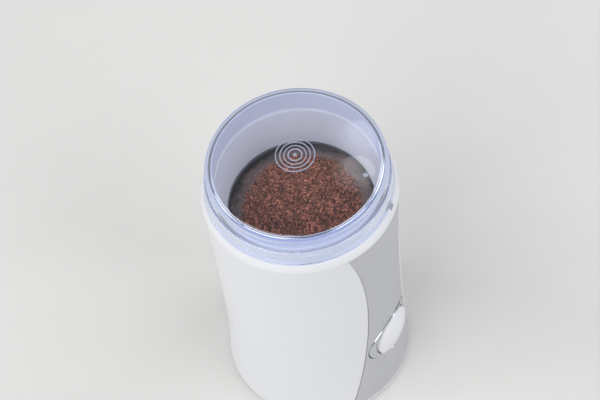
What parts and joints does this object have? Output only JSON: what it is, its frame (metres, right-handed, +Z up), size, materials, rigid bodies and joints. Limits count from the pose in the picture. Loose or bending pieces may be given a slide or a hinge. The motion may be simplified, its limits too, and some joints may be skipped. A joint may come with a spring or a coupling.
{
  "type": "electric spice grinder",
  "caption": "Upright electric blade grinder: waisted round body with a side panel and domed push button, clear lift-off lid over a steel cup, blade and motor inside.",
  "frame": {"origin": "centre of the base on the table, under the blade axis", "axes": "+Z up along the blade axis; -Y towards the push button; +Y towards the cord entry"},
  "size_m": [0.0926, 0.096, 0.1699],
  "materials": {
    "clear_lid": "clear, slightly blue moulded plastic",
    "white_shell": "smooth white moulded plastic",
    "grey_panel": "fine satin grey moulded plastic",
    "bezel_silver": "satin silver coat on plastic",
    "button_white": "polished white moulded plastic",
    "cup_steel": "polished stainless steel",
    "bowl_steel": "dark worn stainless steel",
    "blade_steel": "ground stainless steel",
    "plain_steel": "turned steel",
    "zinc_steel": "zinc plated steel",
    "laminations": "stacked electrical steel",
    "copper": "enamelled copper wire",
    "bar_copper": "machined copper bars",
    "carbon": "pressed carbon",
    "brush_brass": "stamped brass",
    "cast_aluminium": "cast, as made",
    "grey_frame": "moulded plastic, unpolished",
    "black_plastic": "moulded plastic, fine grain",
    "fan_plastic": "moulded plastic",
    "switch_black": "moulded plastic",
    "plunger_red": "moulded plastic",
    "soft_rubber": "moulded rubber",
    "seal_rubber": "moulded silicone rubber",
    "terminal_white": "moulded plastic",
    "capacitor_blue": "dipped resin"
  },
  "bodies": {
    "base": {"base_cover": "white_shell", "base_screws": "zinc_steel", "bowl_carrier": "grey_frame", "bowl_gasket": "seal_rubber", "brush_caps": "black_plastic", "brush_holders": "brush_brass", "brush_springs": "zinc_steel", "button_bezel": "bezel_silver", "button_spring": "zinc_steel", "carbon_brushes": "carbon", "carrier_screws": "zinc_steel", "clamp_screws": "zinc_steel", "cord_clamp": "black_plastic", "cord_gland": "black_plastic", "field_coils": "copper", "grinding_bowl": "bowl_steel", "hopper_sleeve": "cup_steel", "housing": "white_shell", "housing_foot": "white_shell", "interlock_spring": "zinc_steel", "interlock_switch": "switch_black", "lower_bearing": "plain_steel", "lower_bearing_clip": "zinc_steel", "lower_bracket": "grey_frame", "lower_cushion": "soft_rubber", "motor_bolts": "zinc_steel", "mount_screws": "zinc_steel", "power_switch": "switch_black", "rubber_feet": "soft_rubber", "rubber_mounts": "soft_rubber", "shaft_seal": "seal_rubber", "side_panel": "grey_panel", "stator_core": "laminations", "suppression_capacitor": "capacitor_blue", "switch_holder": "grey_frame", "switch_screws": "zinc_steel", "terminal_block": "terminal_white", "thermal_cutout": "black_plastic", "upper_bearing": "plain_steel", "upper_bearing_clip": "zinc_steel", "upper_bracket": "cast_aluminium", "upper_collar": "white_shell"},
    "lid": {"lid": "clear_lid"},
    "rotor": {"motor_shaft": "plain_steel", "blade": "blade_steel", "blade_hub": "plain_steel", "blade_washer": "blade_steel", "blade_nut": "blade_steel", "fan": "fan_plastic", "armature_core": "laminations", "armature_windings": "copper", "commutator": "bar_copper"},
    "push_button": {"button": "button_white", "power_switch_plunger": "plunger_red"},
    "interlock": {"interlock_slide": "grey_frame", "interlock_plunger": "plunger_red"}
  },
  "joints": [
    {"name": "lid_lift", "type": "slide", "parent": "base", "child": "lid", "axis": [0, 0, 1], "range_m": [0, 0.06]},
    {"name": "blade_spin", "type": "hinge", "parent": "base", "child": "rotor", "pos_m": [0, 0, 0], "axis": [0, 0, 1], "continuous": true},
    {"name": "button_press", "type": "slide", "parent": "base", "child": "push_button", "axis": [0, 1, 0], "range_m": [0, 0.0022], "stiffness_N_per_m": 1500, "springref_m": -0.002, "deforming": ["button_spring"]},
    {"name": "interlock_rise", "type": "slide", "parent": "base", "child": "interlock", "axis": [0, 0, 1], "range_m": [0, 0.003], "deforming": ["interlock_spring"]}
  ],
  "couplings": [
    {"joint": "interlock_rise", "follows": "lid_lift", "ratio": 0.05}
  ]
}
